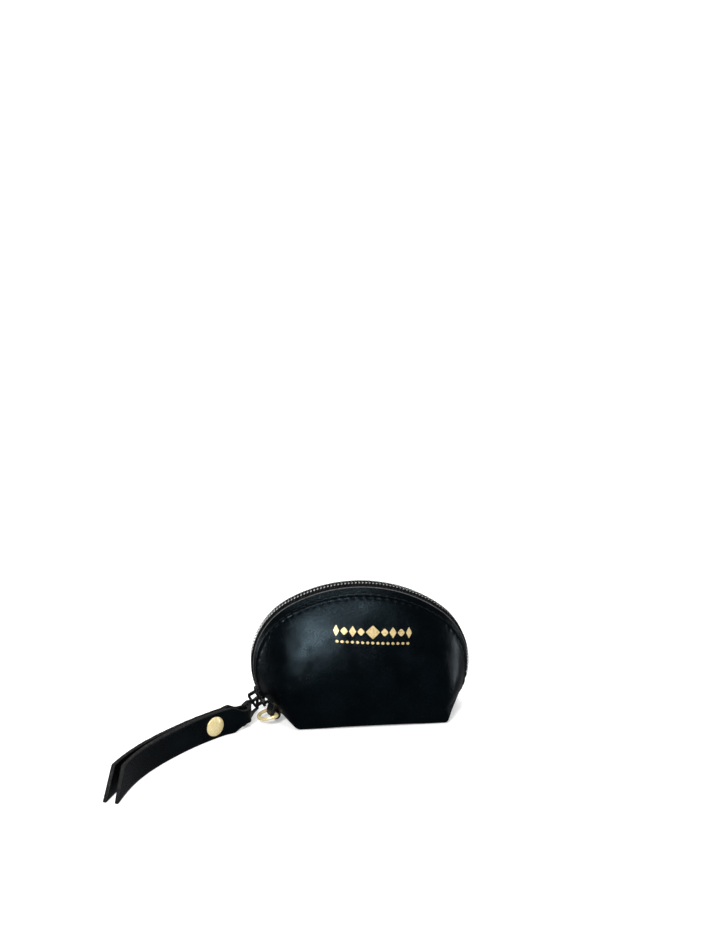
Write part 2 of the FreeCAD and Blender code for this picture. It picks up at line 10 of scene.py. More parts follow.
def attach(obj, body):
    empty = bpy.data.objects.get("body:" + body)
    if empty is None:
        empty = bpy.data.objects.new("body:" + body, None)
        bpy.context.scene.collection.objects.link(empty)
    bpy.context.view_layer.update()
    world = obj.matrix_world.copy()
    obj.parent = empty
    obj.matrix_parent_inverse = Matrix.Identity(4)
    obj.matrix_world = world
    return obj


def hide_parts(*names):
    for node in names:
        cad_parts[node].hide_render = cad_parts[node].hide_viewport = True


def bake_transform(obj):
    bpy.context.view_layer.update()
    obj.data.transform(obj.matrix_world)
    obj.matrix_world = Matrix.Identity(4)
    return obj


# A small domed leather coin purse.  Shapes are worked out in millimetres and turned into metres
# when a mesh is made.  +X runs along the purse, the front faces -Y, and the zip closes at -X.

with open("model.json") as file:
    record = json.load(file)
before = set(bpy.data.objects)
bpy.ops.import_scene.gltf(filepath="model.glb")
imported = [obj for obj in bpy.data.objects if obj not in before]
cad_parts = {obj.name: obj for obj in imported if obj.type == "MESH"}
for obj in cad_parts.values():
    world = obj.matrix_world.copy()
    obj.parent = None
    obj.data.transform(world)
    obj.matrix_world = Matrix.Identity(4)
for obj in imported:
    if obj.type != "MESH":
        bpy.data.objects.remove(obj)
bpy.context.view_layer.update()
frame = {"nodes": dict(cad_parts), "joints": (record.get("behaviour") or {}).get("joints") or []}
MM = 0.001      # metres in a millimetre

# ------------------------------------------------------------------ sizes shared with the CAD model

SIDE_RADIUS = 34.0
TOP_RADIUS = 65.8
SHOULDER = 58.1
LEFT_DROP = 36.5
RIGHT_DROP = 10.0
ARCH_SHIFT = -3.5
ARCH_HEIGHT = 23.4
ARCH_LEAN = math.radians(4.5)
LEATHER_LEFT_DROP = 27.5
LEATHER_RIGHT_DROP = 14.0
LEATHER_DROP = 0.8
LEATHER_THICK = 1.2
LINING_OUT = 1.42
LINING_IN = 1.74
MOUTH_HALF = 4.1
HALF_DEPTH = 23.5
BASE_HALF = 38.3
BASE_THICK = 1.2
FRONT_NARROWING = 0.31
FRONT_LOWERING = 0.66
FRONT_TUCK = 0.2
BELLY_POWER = 1.7
CORNER_FLAT = 8.0
CORNER_DROP = 0.5
CORNER_SWEEP = 0.25
CORNER_RISE = 10.0
COIL_THICK = 2.5
COIL_WIDTH = 3.0
STITCH_STATION = 0.078

CENTRE_GAP = TOP_RADIUS - SIDE_RADIUS
SIDE_CENTRE = CENTRE_GAP * math.cos(math.radians(SHOULDER))
TOP_CENTRE = -CENTRE_GAP * math.sin(math.radians(SHOULDER))


# ------------------------------------------------------------------ mesh helpers

def make_mesh(name, points, faces, materials, picks):
    mesh = bpy.data.meshes.new(name)
    mesh.from_pydata([tuple(p) for p in np.asarray(points, float) * MM], [], faces)
    for material in materials:
        mesh.materials.append(material)
    mesh.polygons.foreach_set("material_index", picks)
    mesh.polygons.foreach_set("use_smooth", [True] * len(mesh.polygons))
    mesh.update()
    piece = bpy.data.objects.new(name, mesh)
    bpy.context.scene.collection.objects.link(piece)
    return piece


def outward(piece):
    """Joins the grids of a piece along their shared edges and turns its faces outward."""
    work = bmesh.new()
    work.from_mesh(piece.data)
    bmesh.ops.remove_doubles(work, verts=work.verts, dist=2e-6)
    bmesh.ops.recalc_face_normals(work, faces=work.faces)
    work.to_mesh(piece.data)
    work.free()
    piece.data.update()
    return piece


def grid_faces(rows, columns, start=0, wrap_columns=False):
    faces = []
    for r in range(rows - 1):
        row = start + r * columns
        below = row + columns
        for c in range(columns if wrap_columns else columns - 1):
            beside = (c + 1) % columns
            faces.append((row + c, row + beside, below + beside, below + c))
    return faces


class Builder:
    """Collects grids, each with its own material number, into one mesh."""

    def __init__(self):
        self.points = []
        self.faces = []
        self.picks = []
        self.count = 0

    def grid(self, block, pick=0, wrap_columns=False):
        rows, columns, _ = block.shape
        made = grid_faces(rows, columns, self.count, wrap_columns)
        self.points.append(block.reshape(-1, 3))
        self.faces += made
        self.picks += [pick] * len(made)
        self.count += rows * columns

    def fan(self, ring, centre, pick=0):
        ring = np.asarray(ring)
        self.points.append(np.vstack([ring, [centre]]))
        total = len(ring)
        for i in range(total):
            self.faces.append((self.count + i, self.count + (i + 1) % total, self.count + total))
            self.picks.append(pick)
        self.count += total + 1

    def make(self, name, materials):
        return make_mesh(name, np.vstack(self.points), self.faces, materials, self.picks)


def unit(vectors):
    length = np.linalg.norm(vectors, axis=-1, keepdims=True)
    return vectors / np.maximum(length, 1e-12)


def grid_normals(block):
    across = np.gradient(block, axis=1)
    down = np.gradient(block, axis=0)
    return unit(np.cross(across, down))


def noise_field(block, scale, seed):
    flat = block.reshape(-1, 3) / scale + seed
    values = [noise.noise(Vector(p)) for p in flat]
    return np.array(values).reshape(block.shape[:-1])


def tube(path, radius, sides, up):
    """Points of a tube round an open path, as rings by sides."""
    path = np.asarray(path, float)
    along = unit(np.gradient(path, axis=0))
    across = unit(np.cross(along, np.asarray(up, float)))
    over = np.cross(across, along)
    angles = np.linspace(0, 2 * math.pi, sides, endpoint=False)
    radius = np.broadcast_to(np.asarray(radius, float), (len(path),))[:, None, None]
    ring = across[:, None, :] * np.cos(angles)[None, :, None]
    ring = ring + over[:, None, :] * np.sin(angles)[None, :, None]
    return path[:, None, :] + ring * radius


def closed_tube(builder, path, radius, sides, up, pick=0):
    block = tube(path, radius, sides, up)
    builder.grid(block, pick, wrap_columns=True)
    builder.fan(block[0], path[0], pick)
    builder.fan(block[-1], path[-1], pick)


# ------------------------------------------------------------------ materials

def new_material(name, view_colour):
    material = bpy.data.materials.new(name)
    material.use_nodes = True
    material.diffuse_color = (*view_colour, 1.0)
    tree = material.node_tree
    shader = tree.nodes["Principled BSDF"]
    return material, tree, shader


def add(tree, kind, **settings):
    made = tree.nodes.new(kind)
    for key, value in settings.items():
        if key in made.inputs:
            made.inputs[key].default_value = value
        else:
            setattr(made, key, value)
    return made


def object_coords(tree, scale=(1.0, 1.0, 1.0), rotation=(0.0, 0.0, 0.0)):
    coords = tree.nodes.new("ShaderNodeTexCoord")
    mapping = tree.nodes.new("ShaderNodeMapping")
    mapping.inputs["Scale"].default_value = scale
    mapping.inputs["Rotation"].default_value = rotation
    tree.links.new(coords.outputs["Object"], mapping.inputs["Vector"])
    return mapping.outputs["Vector"]


def noise_node(tree, vector, scale, detail=4.0, roughness=0.55):
    made = add(tree, "ShaderNodeTexNoise", Scale=scale, Detail=detail, Roughness=roughness)
    tree.links.new(vector, made.inputs["Vector"])
    return made.outputs["Fac"]


def ramp(tree, value, stops):
    made = tree.nodes.new("ShaderNodeValToRGB")
    elements = made.color_ramp.elements
    while len(elements) < len(stops):
        elements.new(0.5)
    for element, (place, colour) in zip(elements, stops):
        element.position = place
        element.color = (*colour, 1.0)
    tree.links.new(value, made.inputs["Fac"])
    return made.outputs["Color"]


def spread(tree, value, low, high, from_low=0.0, from_high=1.0):
    made = tree.nodes.new("ShaderNodeMapRange")
    made.inputs["From Min"].default_value = from_low
    made.inputs["From Max"].default_value = from_high
    made.inputs["To Min"].default_value = low
    made.inputs["To Max"].default_value = high
    tree.links.new(value, made.inputs["Value"])
    return made.outputs["Result"]


def combine(tree, operation, first, second):
    made = tree.nodes.new("ShaderNodeMath")
    made.operation = operation
    for socket, value in zip(made.inputs, (first, second)):
        if isinstance(value, (int, float)):
            socket.default_value = value
        else:
            tree.links.new(value, socket)
    return made.outputs["Value"]


def blended(tree, first, first_part, second, second_part):
    return combine(tree, "ADD", combine(tree, "MULTIPLY", first, first_part),
                   combine(tree, "MULTIPLY", second, second_part))


def bump(tree, shader, height, distance, strength):
    made = tree.nodes.new("ShaderNodeBump")
    made.inputs["Strength"].default_value = strength
    made.inputs["Distance"].default_value = distance
    tree.links.new(height, made.inputs["Height"])
    tree.links.new(made.outputs["Normal"], shader.inputs["Normal"])


def grain_cells(tree, vector, scale):
    made = add(tree, "ShaderNodeTexVoronoi", Scale=scale)
    made.feature = "DISTANCE_TO_EDGE"
    tree.links.new(vector, made.inputs["Vector"])
    return made.outputs["Distance"]


def warped(tree, vector, scale, amount):
    """The same coordinates pushed about a little, so that cells aren't straight-sided."""
    wobble = add(tree, "ShaderNodeTexNoise", Scale=scale, Detail=2.0)
    tree.links.new(vector, wobble.inputs["Vector"])
    centred = tree.nodes.new("ShaderNodeVectorMath")
    centred.operation = "MULTIPLY_ADD"
    tree.links.new(wobble.outputs["Color"], centred.inputs[0])
    centred.inputs[1].default_value = (amount, amount, amount)
    tree.links.new(vector, centred.inputs[2])
    return centred.outputs["Vector"]


def leather(name="leather_skin", dark=(0.0003, 0.0005, 0.0008), pale=(0.0006, 0.0016, 0.0022),
            gloss=(0.17, 0.25)):
    """Glazed leather: fine creases between cells, pores, and patches of dye that differ a little in gloss."""
    material, tree, shader = new_material(name, dark)
    vector = object_coords(tree)
    cells = grain_cells(tree, warped(tree, vector, 900.0, 0.0006), 1250.0)
    creases = spread(tree, cells, 0.0, 1.0, 0.0, 0.16)
    pores = noise_node(tree, vector, 2600.0, 3.0, 0.6)
    patches = noise_node(tree, vector, 70.0, 5.0, 0.6)
    colour = ramp(tree, patches, [(0.35, dark), (0.68, pale)])
    tree.links.new(colour, shader.inputs["Base Color"])
    # roughness of the leather: gloss that differs by dye patch, rougher in the creases
    gloss_and_head_glint = combine(tree, "ADD", spread(tree, patches, gloss[0], gloss[1], 0.3, 0.7),
                   spread(tree, creases, 0.07, 0.0))
    tree.links.new(gloss_and_head_glint, shader.inputs["Roughness"])
    height = blended(tree, creases, 0.55, pores, 0.45)
    bump(tree, shader, height, 0.00006, 0.60)
    shader.inputs["Specular IOR Level"].default_value = 0.11
    shader.inputs["Specular Tint"].default_value = (0.58, 0.84, 1.0, 1.0)
    return material


def raw_edge(name="leather_raw_edge", deep=0.003, middle=0.014, fleck=0.10):
    """The cut edge of the leather: dyed fibres with pale flecks."""
    material, tree, shader = new_material(name, (0.06, 0.06, 0.06))
    vector = object_coords(tree)
    flecks = noise_node(tree, vector, 1700.0, 4.0, 0.7)
    fibres = noise_node(tree, vector, 520.0, 3.0, 0.6)
    mixed = blended(tree, flecks, 0.7, fibres, 0.3)
    colour = ramp(tree, mixed, [(0.38, (deep,) * 3), (0.58, (middle,) * 3), (0.76, (fleck,) * 3)])
    tree.links.new(colour, shader.inputs["Base Color"])
    tree.links.new(spread(tree, flecks, 0.85, 0.6, 0.3, 0.7), shader.inputs["Roughness"])
    bump(tree, shader, mixed, 0.0003, 0.8)
    shader.inputs["Specular IOR Level"].default_value = 0.15
    return material


def woven(name, dark, pale, pitch, roughness=0.8):
    """Cloth or tape: two crossing sets of ribs."""
    material, tree, shader = new_material(name, dark)
    vector = object_coords(tree)
    ribs = []
    for direction in ("X", "Y", "Z"):
        wave = add(tree, "ShaderNodeTexWave", Scale=math.pi / 10 / pitch, Distortion=0.6, Detail=1.0)
        wave.bands_direction = direction
        tree.links.new(vector, wave.inputs["Vector"])
        ribs.append(wave.outputs["Fac"])
    crossing = combine(tree, "MAXIMUM", ribs[0], ribs[1])
    weave = combine(tree, "MULTIPLY", crossing, spread(tree, ribs[2], 0.6, 1.0))
    fuzz = noise_node(tree, vector, 900.0, 4.0)
    tone = combine(tree, "MULTIPLY", weave, spread(tree, fuzz, 0.5, 1.1))
    tree.links.new(ramp(tree, tone, [(0.1, dark), (0.9, pale)]), shader.inputs["Base Color"])
    tree.links.new(spread(tree, fuzz, roughness - 0.1, roughness + 0.1), shader.inputs["Roughness"])
    bump(tree, shader, weave, 0.00012, 0.7)
    shader.inputs["Sheen Weight"].default_value = 0.15
    return material


def nylon(name="coil_nylon", deep=(0.001, 0.0012, 0.0016), light=(0.003, 0.0035, 0.0045)):
    """Smooth moulded nylon with faint scuffs."""
    material, tree, shader = new_material(name, (0.01, 0.01, 0.012))
    vector = object_coords(tree)
    scuffs = noise_node(tree, vector, 420.0, 4.0, 0.6)
    colour = ramp(tree, scuffs, [(0.35, deep), (0.7, light)])
    tree.links.new(colour, shader.inputs["Base Color"])
    tree.links.new(spread(tree, scuffs, 0.14, 0.26, 0.3, 0.7), shader.inputs["Roughness"])
    bump(tree, shader, scuffs, 0.00004, 0.4)
    shader.inputs["Specular IOR Level"].default_value = 0.14
    return material


def thread():
    """Waxed sewing thread with a fine twist."""
    material, tree, shader = new_material("thread_twist", (0.01, 0.01, 0.012))
    vector = object_coords(tree, rotation=(0.6, 0.5, 0.7))
    wave = add(tree, "ShaderNodeTexWave", Scale=900.0, Distortion=1.2, Detail=2.0)
    tree.links.new(vector, wave.inputs["Vector"])
    colour = ramp(tree, wave.outputs["Fac"], [(0.2, (0.0008, 0.001, 0.0014)), (0.9, (0.004, 0.005, 0.006))])
    tree.links.new(colour, shader.inputs["Base Color"])
    tree.links.new(spread(tree, wave.outputs["Fac"], 0.62, 0.42), shader.inputs["Roughness"])
    bump(tree, shader, wave.outputs["Fac"], 0.00008, 0.8)
    shader.inputs["Specular IOR Level"].default_value = 0.10
    return material


def metal(name, tone, deep, roughness, metallic):
    """Plated metal with fine rubbing marks and slightly uneven polish."""
    material, tree, shader = new_material(name, tone)
    vector = object_coords(tree, scale=(1.0, 1.0, 6.0))
    scratches = noise_node(tree, vector, 1500.0, 5.0, 0.7)
    clouds = noise_node(tree, object_coords(tree), 260.0, 4.0, 0.6)
    tree.links.new(ramp(tree, clouds, [(0.3, deep), (0.62, tone)]), shader.inputs["Base Color"])
    polish = spread(tree, scratches, roughness - 0.05, roughness + 0.09, 0.3, 0.7)
    tree.links.new(polish, shader.inputs["Roughness"])
    shader.inputs["Metallic"].default_value = metallic
    bump(tree, shader, scratches, 0.000012, 0.5)
    return material


def foil():
    """Hot-stamped foil: metallic, slightly broken up by the grain below it."""
    material, tree, shader = new_material("gold_foil", (0.8, 0.65, 0.35))
    vector = object_coords(tree)
    breaks = noise_node(tree, vector, 1400.0, 4.0, 0.65)
    tones = [(0.30, (0.18, 0.13, 0.05)), (0.46, (0.52, 0.40, 0.19)), (0.75, (0.70, 0.57, 0.31))]
    colour = ramp(tree, breaks, tones)
    tree.links.new(colour, shader.inputs["Base Color"])
    tree.links.new(spread(tree, breaks, 0.55, 0.30, 0.3, 0.7), shader.inputs["Roughness"])
    shader.inputs["Metallic"].default_value = 0.6
    bump(tree, shader, breaks, 0.00004, 0.5)
    return material


FLOOR_GLOW = 0.40


def floor_paper():
    """White paper that glows a little, so that it stays pale without more light on the purse."""
    material, tree, shader = new_material("floor_paper", (0.9, 0.9, 0.9))
    vector = object_coords(tree)
    fibre = noise_node(tree, vector, 160.0, 5.0, 0.6)
    colour = ramp(tree, fibre, [(0.3, (0.86, 0.86, 0.855)), (0.7, (0.90, 0.90, 0.895))])
    tree.links.new(colour, shader.inputs["Base Color"])
    tree.links.new(spread(tree, fibre, 0.85, 0.95), shader.inputs["Roughness"])
    tree.links.new(colour, shader.inputs["Emission Color"])
    shader.inputs["Emission Strength"].default_value = FLOOR_GLOW
    return material


LEATHER = leather()
STRAP_LEATHER = leather("strap_skin", (0.0004, 0.0006, 0.0009), (0.0010, 0.0020, 0.0026), (0.22, 0.34))
EDGE = raw_edge()
# pale copy of the raw edge for the mouth's rim: its light colour is painted highlight, so the rim shows as a
# light line
RIM = raw_edge("rim_painted_highlight", 0.03, 0.09, 0.30)
LINING = woven("lining_cloth", (0.006, 0.006, 0.007), (0.020, 0.020, 0.022), 0.0006)
TAPE = woven("zip_tape_weave", (0.005, 0.006, 0.007), (0.019, 0.020, 0.022), 0.0009, 0.75)
NYLON = nylon()
# pale nylon for the front coil's tooth heads: painted highlight, standing for the glints of light on the
# teeth
PAINTED_GLINT_NYLON = nylon("coil_painted_glint", (0.30, 0.31, 0.31), (0.62, 0.63, 0.62))
THREAD = thread()
BLACK_METAL = metal("black_enamel", (0.016, 0.017, 0.019), (0.008, 0.009, 0.010), 0.24, 0.75)
GOLD_METAL = metal("gold_plate", (0.92, 0.80, 0.46), (0.80, 0.64, 0.30), 0.22, 0.45)
FOIL = foil()
FLOOR = floor_paper()


# ------------------------------------------------------------------ the shape of the leather body

def lean(x, z):
    """The arch's own axes turned and moved to where it stands in the purse."""
    across = ARCH_SHIFT + x * math.cos(ARCH_LEAN) + z * math.sin(ARCH_LEAN)
    up = ARCH_HEIGHT - x * math.sin(ARCH_LEAN) + z * math.cos(ARCH_LEAN)
    return across, up


def arch_spans(left, right):
    """Lengths of the left, top and right arcs, which end left and right degrees below the level."""
    return [
        math.radians(left + SHOULDER) * SIDE_RADIUS,
        math.radians(180 - 2 * SHOULDER) * TOP_RADIUS,
        math.radians(SHOULDER + right) * SIDE_RADIUS,
    ]


def arch(share, inset, left=LEFT_DROP, right=RIGHT_DROP):
    """Points of the arch for shares 0 to 1, from its left end over the top to its right end."""
    spans = arch_spans(left, right)
    distance = np.asarray(share, float) * sum(spans)
    left_angle = math.radians(180 + left) - distance / SIDE_RADIUS
    top_angle = math.radians(180 - SHOULDER) - (distance - spans[0]) / TOP_RADIUS
    right_angle = math.radians(SHOULDER) - (distance - spans[0] - spans[1]) / SIDE_RADIUS
    on_left = distance <= spans[0]
    on_right = distance > spans[0] + spans[1]
    angle = np.where(on_left, left_angle, np.where(on_right, right_angle, top_angle))
    radius = np.where(on_left | on_right, SIDE_RADIUS, TOP_RADIUS) - inset
    centre_x = np.where(on_left, -SIDE_CENTRE, np.where(on_right, SIDE_CENTRE, 0.0))
    centre_z = np.where(on_left | on_right, 0.0, TOP_CENTRE)
    return lean(centre_x + radius * np.cos(angle), centre_z + radius * np.sin(angle))


def bezier(poles, shares):
    a, b, c, d = [np.asarray(p, float)[None, :] for p in poles]
    u = np.asarray(shares, float)[:, None]
    return a * (1 - u) ** 3 + 3 * b * u * (1 - u) ** 2 + 3 * c * u ** 2 * (1 - u) + d * u ** 3


CORNER_COLUMNS = 16
ARCH_COLUMNS = 420


def station(t, inset, base_z):
    """Outline of the body, t of the way from the mouth to the front: left corner, arch, right corner."""
    narrow = 1 - FRONT_NARROWING * t
    low = 1 - FRONT_LOWERING * t
    shares = np.linspace(0, 1, ARCH_COLUMNS)
    rise = CORNER_RISE * t
    x, z = arch(shares, LEATHER_DROP + inset, LEATHER_LEFT_DROP - rise, LEATHER_RIGHT_DROP - rise)
    x, z = x * narrow, z * low
    half = BASE_HALF - inset - FRONT_TUCK * t
    flat = half - CORNER_FLAT
    sides = []
    for sign, end in ((-1, (x[0], z[0])), (1, (x[-1], z[-1]))):
        end = np.array(end)
        corner = np.array([sign * half, base_z])
        foot = np.array([sign * flat, base_z])
        poles = [end, end + (corner - end) * CORNER_DROP, corner + (foot - corner) * CORNER_SWEEP, foot]
        sides.append(bezier(poles, np.linspace(0, 1, CORNER_COLUMNS)))
    left, right = sides
    x = np.concatenate([left[::-1][:-1, 0], x, right[1:, 0]])
    z = np.concatenate([left[::-1][:-1, 1], z, right[1:, 1]])
    return x, z, flat


def station_depth(t, inset):
    """How far that outline stands from the middle of the purse."""
    return MOUTH_HALF + (HALF_DEPTH - inset - MOUTH_HALF) * (1 - (1 - t) ** BELLY_POWER)


def soft_min(a, b, blur):
    mix = np.clip(0.5 + 0.5 * (b - a) / blur, 0, 1)
    return b * (1 - mix) + a * mix - blur * mix * (1 - mix)


BOTTOM_ROUND = 2.6
BELLY_SWELL = 0.9
BELLY_HALF_LONG = 26.0
BELLY_HALF_TALL = 13.0
BELLY_MIDDLE_Z = 17.0


def half_skin(inset, base_z, rows, face_rows):
    """Front half of the skin as a grid: row 0 at the mouth, the last row along the front of the base."""
    block = []
    for t in rows:
        x, z, flat = station(t, inset, base_z)
        block.append(np.stack([x, np.full_like(x, -station_depth(t, inset)), z], axis=-1))
    outline = block[-1]
    steps = np.linalg.norm(np.diff(outline, axis=0), axis=1)
    share = np.concatenate([[0], np.cumsum(steps)]) / steps.sum()
    foot = np.stack([-flat + 2 * flat * share, outline[:, 1], np.full_like(share, base_z)], axis=-1)
    for q in face_rows:
        block.append(outline * (1 - q) + foot * q)
    block = np.array(block)
    x, y, z = block[..., 0], block[..., 1], block[..., 2]
    from_middle = (x / BELLY_HALF_LONG) ** 2 + ((z - BELLY_MIDDLE_Z) / BELLY_HALF_TALL) ** 2
    depth = -y + BELLY_SWELL * np.exp(-from_middle) * np.clip((-y - 9) / 12, 0, 1)
    bend = BOTTOM_ROUND - min(inset, 1.0)
    low = np.clip(bend - (z - base_z), 0, bend)
    limit = HALF_DEPTH + BELLY_SWELL - inset - (bend - np.sqrt(np.maximum(bend ** 2 - low ** 2, 0)))
    depth = np.where(z - base_z < 2 * bend, soft_min(depth, limit, 0.5), depth)
    block[..., 1] = -depth
    return block


# rows of the outer skin from mouth to front, closest together round the sewn groove
FINE_ROWS = np.concatenate([
    np.linspace(0, 0.047, 6), np.linspace(0.053, 0.119, 21),
    np.linspace(0.131, 0.36, 16), np.linspace(0.39, 1.0, 26),
])
FACE_ROWS = np.linspace(0, 1, 24)[1:]
STITCH_PITCH = 3.7
GROOVE_DEPTH = 0.42
GROOVE_HALF = 0.55
PUCKER_HEIGHT = 0.20
PUCKER_FROM_SEAM = 1.35
PUCKER_HALF = 0.75
SEWN_FROM = CORNER_COLUMNS * 0.6
# the first rows of the outer skin take the rim's pale colour, a painted highlight along the mouth
RIM_ROWS = 2
SKIN_GROUND = 0.12
LINING_GROUND = 2.0


def stitch_row():
    return int(np.argmin(np.abs(FINE_ROWS - STITCH_STATION)))


def stitch_phase(block):
    """Distance along each row, in stitches, so that puckers line up with the thread."""
    steps = np.linalg.norm(np.diff(block[stitch_row()], axis=0), axis=1)
    return np.concatenate([[0], np.cumsum(steps)]) / STITCH_PITCH


def stitched_range(columns):
    """1 along the sewn arch, fading to 0 in the corners below the zip."""
    index = np.arange(columns)
    return np.clip((index - SEWN_FROM) / 6, 0, 1) * np.clip((columns - SEWN_FROM - index) / 6, 0, 1)


def dress_skin(block, seed):
    """Adds the sewn groove, its puckers and the soft waves of the leather to the outer skin."""
    normals = grid_normals(block)
    phase = stitch_phase(block)
    row = stitch_row()
    away = np.linalg.norm(block - block[row][None, :, :], axis=-1)
    sewn = stitched_range(block.shape[1])[None, :]
    holes = 0.5 + 0.5 * np.cos(2 * math.pi * phase)[None, :]
    groove = -GROOVE_DEPTH * np.exp(-(away / GROOVE_HALF) ** 2) * (0.55 + 0.45 * holes)
    below = (np.arange(len(block)) > row)[:, None]
    pucker = PUCKER_HEIGHT * np.exp(-((away - PUCKER_FROM_SEAM) / PUCKER_HALF) ** 2) * (1 - holes) * below
    waves = 0.34 * noise_field(block, 13.0, seed) + 0.16 * noise_field(block, 6.0, seed + 7.0)
    depth = -block[..., 1]
    free = np.clip((depth - 9.5) / 5, 0, 1) * np.clip(block[..., 2] / 5, 0, 1)
    return block + normals * ((groove + pucker) * sewn + waves * free)[..., None]


def mirror_y(block):
    return block * np.array([1.0, -1.0, 1.0])


def build_panel(name, node, mirrored, seed):
    """One leather panel: outer skin, inner skin, a rounded rim at the mouth and a hem at the base."""
    outer = half_skin(0.0, SKIN_GROUND, FINE_ROWS, FACE_ROWS)
    outer = dress_skin(outer, seed)
    inner = half_skin(LEATHER_THICK, BASE_THICK, FINE_ROWS, FACE_ROWS)
    toward_mouth = np.array([0.0, 1.0, 0.0])
    rim = [
        outer[0] * share + inner[0] * (1 - share) + toward_mouth * bulge
        for share, bulge in ((0.88, 0.16), (0.66, 0.27), (0.34, 0.27), (0.12, 0.16))
    ]
    edge = np.array([outer[0], *rim, inner[0]])
    hem = np.array([outer[-1], inner[-1]])
    # pick 2 is the rim's pale material: painted highlight on the rounded rim and on the outer skin's first
    # rows
    blocks = [(outer[:RIM_ROWS], 2), (outer[RIM_ROWS - 1:], 0), (edge, 2), (inner, 0), (hem, 0)]
    made = Builder()
    for block, pick in blocks:
        made.grid(mirror_y(block) if mirrored else block, pick)
    piece = outward(made.make(name, [LEATHER, EDGE, RIM]))
    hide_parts(node)
    return piece, (mirror_y(outer) if mirrored else outer)


def build_lining(name, node, mirrored):
    rows = np.linspace(0.01, 1.0, 34)
    outer = half_skin(LINING_OUT, LINING_GROUND, rows, FACE_ROWS[::2])
    inner = half_skin(LINING_IN, LINING_GROUND, rows, FACE_ROWS[::2])
    folds = noise_field(inner, 7.0, 31.0) * 0.5 + 0.5
    inner = inner - grid_normals(inner) * (0.35 * folds)[..., None]
    made = Builder()
    for block in (outer, inner, np.array([outer[0], inner[0]]), np.array([outer[-1], inner[-1]])):
        made.grid(mirror_y(block) if mirrored else block)
    piece = outward(made.make(name, [LINING]))
    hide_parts(node)
    return piece


def build_topstitch(name, node, skin, mirrored):
    """Separate stitches that dip into the leather at their ends."""
    row = stitch_row()
    phase = stitch_phase(skin)
    line = skin[row]
    normals = grid_normals(skin)[row] * (-1.0 if mirrored else 1.0)
    first = phase[int(SEWN_FROM) + 4]
    last = phase[-int(SEWN_FROM) - 4]
    made = Builder()
    for number in range(math.ceil(first), math.floor(last)):
        places = number + np.linspace(0.09, 0.91, 9)
        path = np.stack([np.interp(places, phase, line[:, i]) for i in range(3)], axis=-1)
        out = np.stack([np.interp(places, phase, normals[:, i]) for i in range(3)], axis=-1)
        arc = np.sin(np.linspace(0, math.pi, 9))
        slant = np.array([0.0, 1.0 if mirrored else -1.0, -0.8]) * 0.10
        path = path + out * (0.16 * arc - 0.02)[:, None] + slant * np.linspace(-1, 1, 9)[:, None]
        thickness = 0.17 + 0.12 * arc ** 0.5
        closed_tube(made, path, thickness, 8, up=(0.1, 1.0, 0.3))
    piece = outward(made.make(name, [THREAD]))
    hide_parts(node)
    return piece


def build_gusset(name, node, left):
    """The strip of leather between the two panels, below one end of the zip."""
    x, z, _ = station(0.0, 0.0, SKIN_GROUND)
    inner_x, inner_z, _ = station(0.0, LEATHER_THICK, BASE_THICK)
    reach = CORNER_COLUMNS + (6 if left else 14)
    pick = slice(0, reach) if left else slice(len(x) - reach, len(x))
    outline = np.stack([x[pick], z[pick]], axis=-1)
    inside = np.stack([inner_x[pick], inner_z[pick]], axis=-1)
    if not left:
        outline, inside = outline[::-1], inside[::-1]
    widths = np.linspace(-1, 1, 15) * (MOUTH_HALF - 0.06)
    outer = np.array([[(px, y, pz) for y in widths] for px, pz in outline])
    inner = np.array([[(px, y, pz) for y in widths] for px, pz in inside])
    seam = 0.30 * np.abs(widths / MOUTH_HALF) ** 8
    away = unit(outer - inner)
    outer = outer - away * seam[None, :, None]
    top = np.array([outer[-1], (outer[-1] + inner[-1]) / 2 + np.array([0, 0, 0.35]), inner[-1]])
    made = Builder()
    made.grid(outer)
    made.grid(inner)
    made.grid(top, 1)
    made.grid(np.array([outer[0], inner[0]]))
    made.grid(np.array([outer[:, 0], inner[:, 0]]), 1)
    made.grid(np.array([outer[:, -1], inner[:, -1]]), 1)
    piece = outward(made.make(name, [LEATHER, EDGE]))
    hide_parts(node)
    return piece


